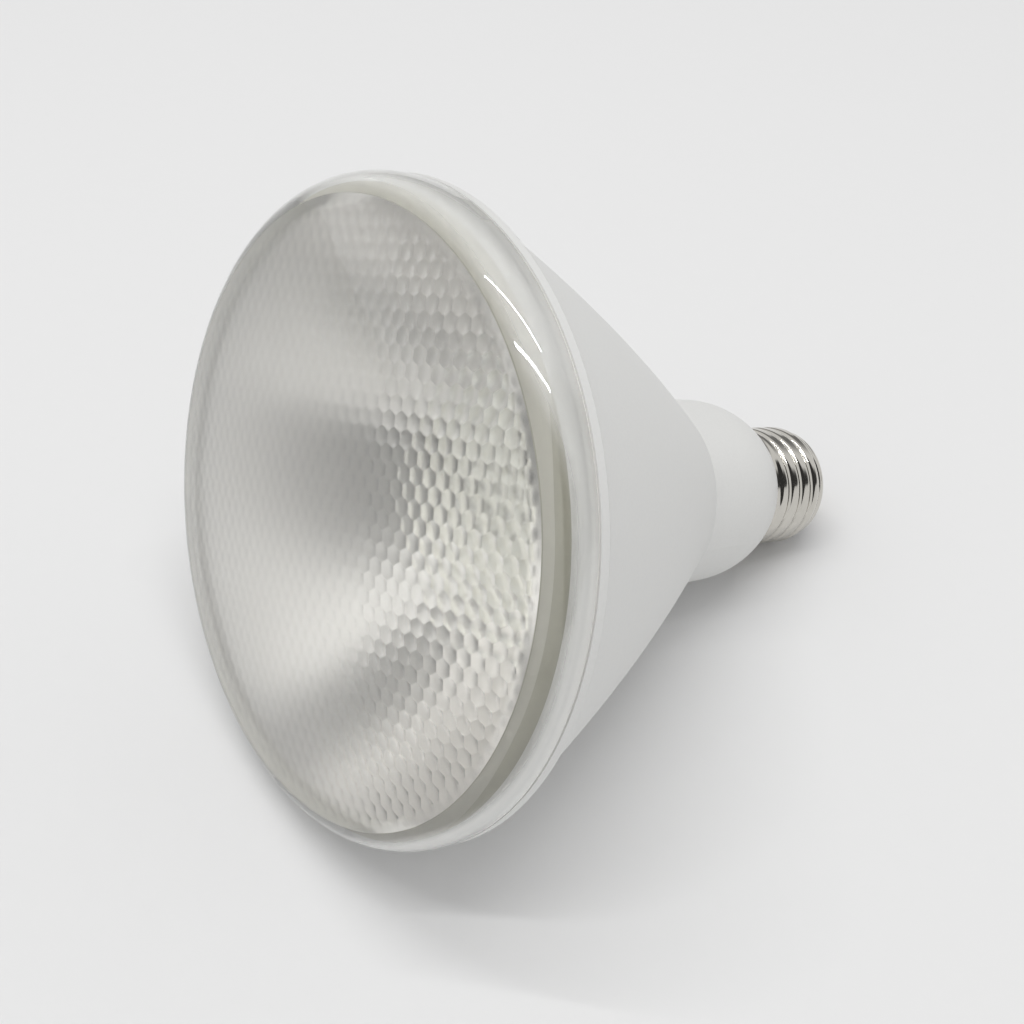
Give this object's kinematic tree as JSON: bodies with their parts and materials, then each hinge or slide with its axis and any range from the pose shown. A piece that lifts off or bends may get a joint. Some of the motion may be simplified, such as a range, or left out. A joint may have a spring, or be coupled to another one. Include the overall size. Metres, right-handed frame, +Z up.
{
  "type": "reflector spotlight bulb",
  "caption": "LED reflector spotlight bulb with a clear honeycomb lens, white cone housing and Edison screw cap, lying on its side.",
  "frame": {"origin": "on the surface that the lamp lies on, under the middle of its box", "axes": "+Z up, +Y the way the screw cap points as the lamp lies, +X across the lens"},
  "size_m": [0.121, 0.1424, 0.1133],
  "materials": {
    "clear_polycarbonate": "clear, glossy, with lenslets inside",
    "white_housing": "fine satin moulding",
    "silicone_seal": "soft matt silicone",
    "nickel_plate": "bright rolled nickel plate",
    "black_insulator": "glossy black moulding",
    "contact_brass": "tinned brass, slightly dull",
    "cast_aluminium": "drawn sheet, satin",
    "metallised_reflector": "vacuum-metallised plastic",
    "thermal_pad_grey": "soft matt pad",
    "white_solder_mask": "satin white mask",
    "led_body": "white moulding",
    "led_phosphor": "yellow gel",
    "screw_steel": "zinc-plated",
    "connector_white": "white moulding",
    "green_laminate": "green solder mask",
    "ferrite": "matt sintered ferrite",
    "winding_tape": "yellow tape",
    "capacitor_sleeve": "shrunk sleeve",
    "film_case": "epoxy-filled case",
    "chip_epoxy": "moulded epoxy",
    "fuse_ceramic": "lacquered ceramic",
    "red_lead": "PVC sleeve",
    "black_lead": "PVC sleeve",
    "brown_lead": "PVC sleeve",
    "blue_lead": "PVC sleeve"
  },
  "bodies": {
    "root": {"lens_cover": "clear_polycarbonate", "seal_ring": "silicone_seal", "housing": "white_housing", "screw_shell": "nickel_plate", "cap_insulator": "black_insulator", "centre_contact": "contact_brass", "heat_spreader": "cast_aluminium", "thermal_pad": "thermal_pad_grey", "led_board": "white_solder_mask", "led_packages": "led_body", "led_windows": "led_phosphor", "board_screws": "screw_steel", "led_connector": "connector_white", "reflector": "metallised_reflector", "driver_board": "green_laminate", "transformer_core": "ferrite", "transformer_winding": "winding_tape", "input_capacitor": "capacitor_sleeve", "output_capacitor": "capacitor_sleeve", "film_capacitor": "film_case", "choke": "ferrite", "bridge_rectifier": "chip_epoxy", "controller_chip": "chip_epoxy", "fuse_resistor": "fuse_ceramic", "led_lead_positive": "red_lead", "led_lead_negative": "black_lead", "live_lead": "brown_lead", "neutral_lead": "blue_lead"}
  },
  "joints": []
}
